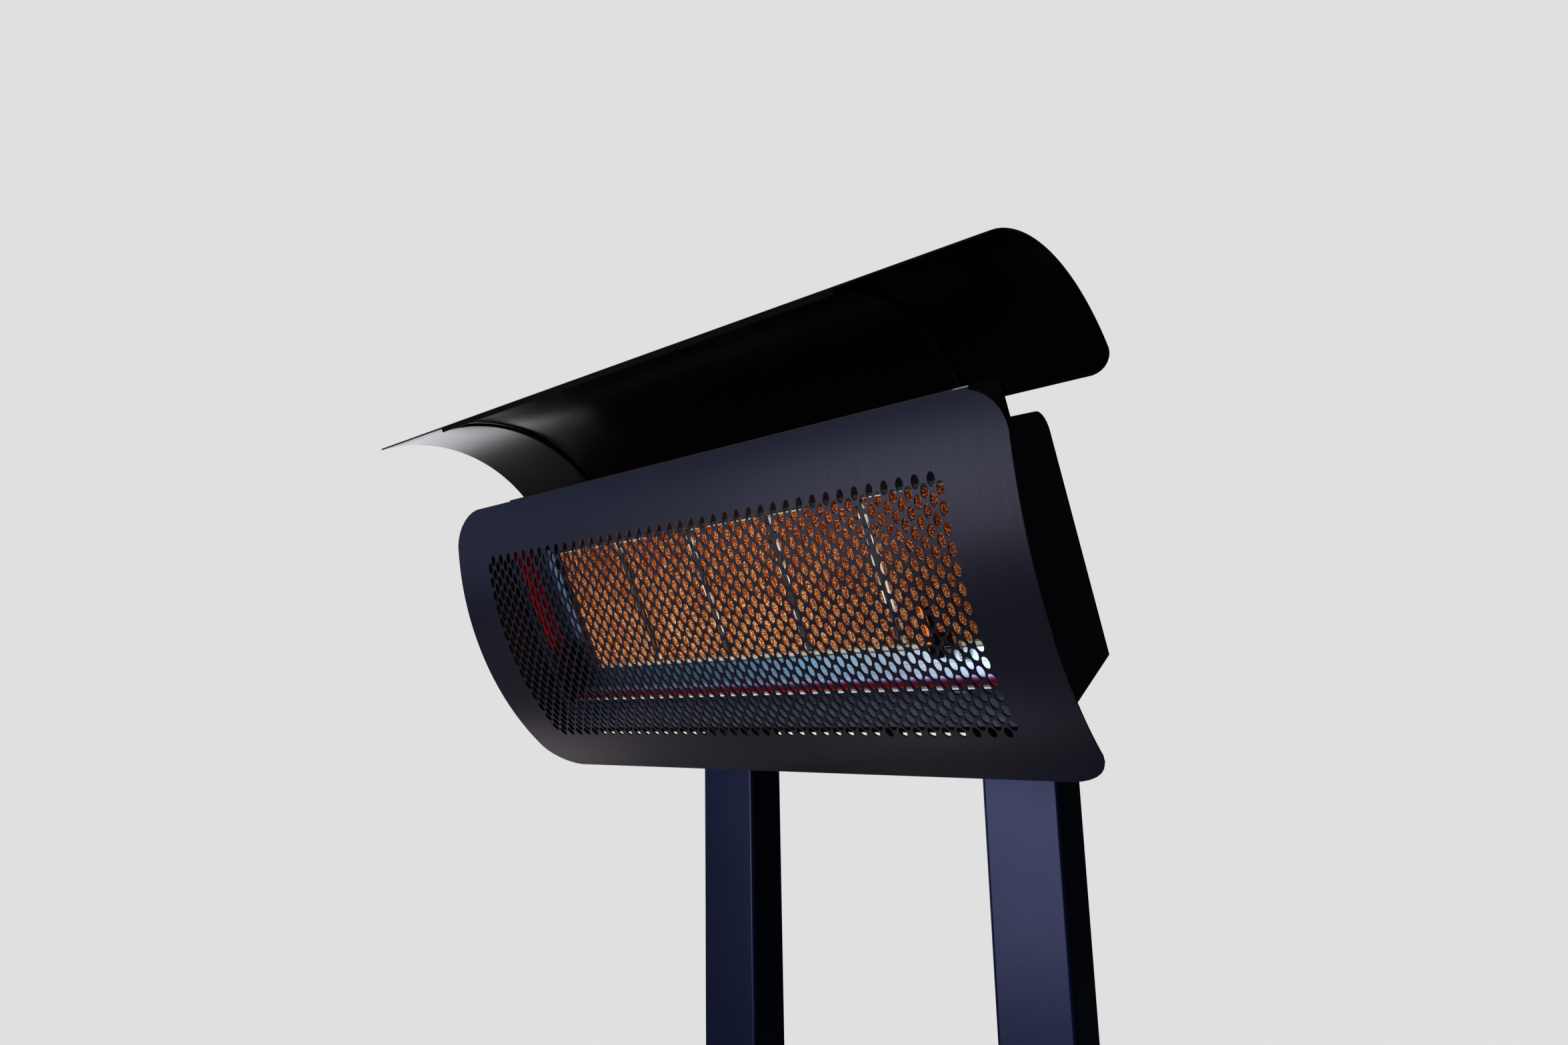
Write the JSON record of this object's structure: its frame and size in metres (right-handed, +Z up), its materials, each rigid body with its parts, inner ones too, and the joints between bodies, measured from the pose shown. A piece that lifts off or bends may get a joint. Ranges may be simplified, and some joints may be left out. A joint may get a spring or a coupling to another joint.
{
  "type": "infrared patio heater",
  "caption": "Free-standing infrared patio heater: tilting head with ceramic tiles behind a curved perforated screen, deflector hood, two posts and a wheeled base with a bottle cabinet.",
  "frame": {"origin": "on the floor, under the middle of the whole tower", "axes": "+Z up, -Y out of the glowing face, +X to the viewer's right when facing it"},
  "size_m": [0.696, 0.5254, 2.3017],
  "materials": {
    "black_paint": "satin",
    "post_paint": "satin",
    "screen_steel": "satin",
    "ceramic": "matte",
    "polished_steel": "polished",
    "zinc": "satin",
    "brass": "satin",
    "porcelain": "gloss",
    "rubber": "matte",
    "black_plastic": "matte"
  },
  "bodies": {
    "stand": {"base_plate": "black_paint", "foot_front_left": "rubber", "foot_front_right": "rubber", "foot_rear_left": "rubber", "foot_rear_right": "rubber", "axle": "zinc", "post_left": "post_paint", "post_right": "post_paint", "post_cap_left": "black_plastic", "post_cap_right": "black_plastic", "cross_bar_upper": "post_paint", "cross_bar_lower": "post_paint", "post_bracket_left": "black_paint", "post_bracket_right": "black_paint", "pivot_bolt_left": "zinc", "pivot_bolt_right": "zinc", "cabinet_shell": "black_paint", "cabinet_deck": "black_paint", "door_hinge_lower": "zinc", "door_hinge_upper": "zinc", "gas_valve": "brass", "igniter_bezel": "black_plastic", "igniter_module": "black_plastic"},
    "head": {"front_screen": "screen_steel", "screen_bracket_left": "black_paint", "screen_bracket_right": "black_paint", "hood": "black_paint", "hood_arm_left": "black_paint", "hood_arm_right": "black_paint", "rear_housing": "black_paint", "top_flange": "black_paint", "ceramic_tile_1": "ceramic", "ceramic_tile_2": "ceramic", "ceramic_tile_3": "ceramic", "ceramic_tile_4": "ceramic", "ceramic_tile_5": "ceramic", "tile_frame": "polished_steel", "burner_plenum": "zinc", "plenum_mount": "zinc", "mixer_tube": "zinc", "injector_bracket": "zinc", "gas_injector": "brass", "gas_inlet": "brass", "reflector_lower": "polished_steel", "reflector_upper": "polished_steel", "reflector_left": "polished_steel", "reflector_right": "polished_steel", "pilot_bracket": "zinc", "spark_electrode": "porcelain", "thermocouple": "zinc", "head_bracket_left": "black_paint", "head_bracket_right": "black_paint"},
    "tilt_knob_left": {"tilt_knob_left": "black_plastic"},
    "tilt_knob_right": {"tilt_knob_right": "black_plastic"},
    "cabinet_door": {"cabinet_door": "black_paint"},
    "door_latch": {"door_latch": "zinc"},
    "gas_knob": {"gas_knob": "black_plastic"},
    "igniter_button": {"igniter_button": "black_plastic"},
    "wheel_left": {"wheel_left": "rubber"},
    "wheel_right": {"wheel_right": "rubber"}
  },
  "joints": [
    {"name": "head_tilt", "type": "hinge", "parent": "stand", "child": "head", "pos_m": [0, 0.0708, 2.12], "axis": [1, 0, 0], "range_deg": [-20, 15]},
    {"name": "tilt_knob_left_turn", "type": "hinge", "parent": "stand", "child": "tilt_knob_left", "pos_m": [-0.1965, 0.0708, 2.12], "axis": [1, 0, 0], "continuous": true},
    {"name": "tilt_knob_right_turn", "type": "hinge", "parent": "stand", "child": "tilt_knob_right", "pos_m": [0.1965, 0.0708, 2.12], "axis": [1, 0, 0], "continuous": true},
    {"name": "cabinet_door_swing", "type": "hinge", "parent": "stand", "child": "cabinet_door", "pos_m": [-0.223, -0.2303, 0.3718], "axis": [0, 0, -1], "range_deg": [0, 110]},
    {"name": "door_latch_turn", "type": "hinge", "parent": "cabinet_door", "child": "door_latch", "pos_m": [0.185, -0.25, 0.3718], "axis": [0, 1, 0], "range_deg": [0, 90]},
    {"name": "gas_knob_turn", "type": "hinge", "parent": "stand", "child": "gas_knob", "pos_m": [-0.09, -0.1273, 0.712], "axis": [0, 0, 1], "range_deg": [0, 180]},
    {"name": "igniter_button_press", "type": "slide", "parent": "stand", "child": "igniter_button", "axis": [0, 0, -1], "range_m": [0, 0.004], "stiffness_N_per_m": 800},
    {"name": "wheel_left_spin", "type": "hinge", "parent": "stand", "child": "wheel_left", "pos_m": [-0.282, 0.1827, 0.083], "axis": [1, 0, 0], "continuous": true},
    {"name": "wheel_right_spin", "type": "hinge", "parent": "stand", "child": "wheel_right", "pos_m": [0.282, 0.1827, 0.083], "axis": [1, 0, 0], "continuous": true}
  ]
}
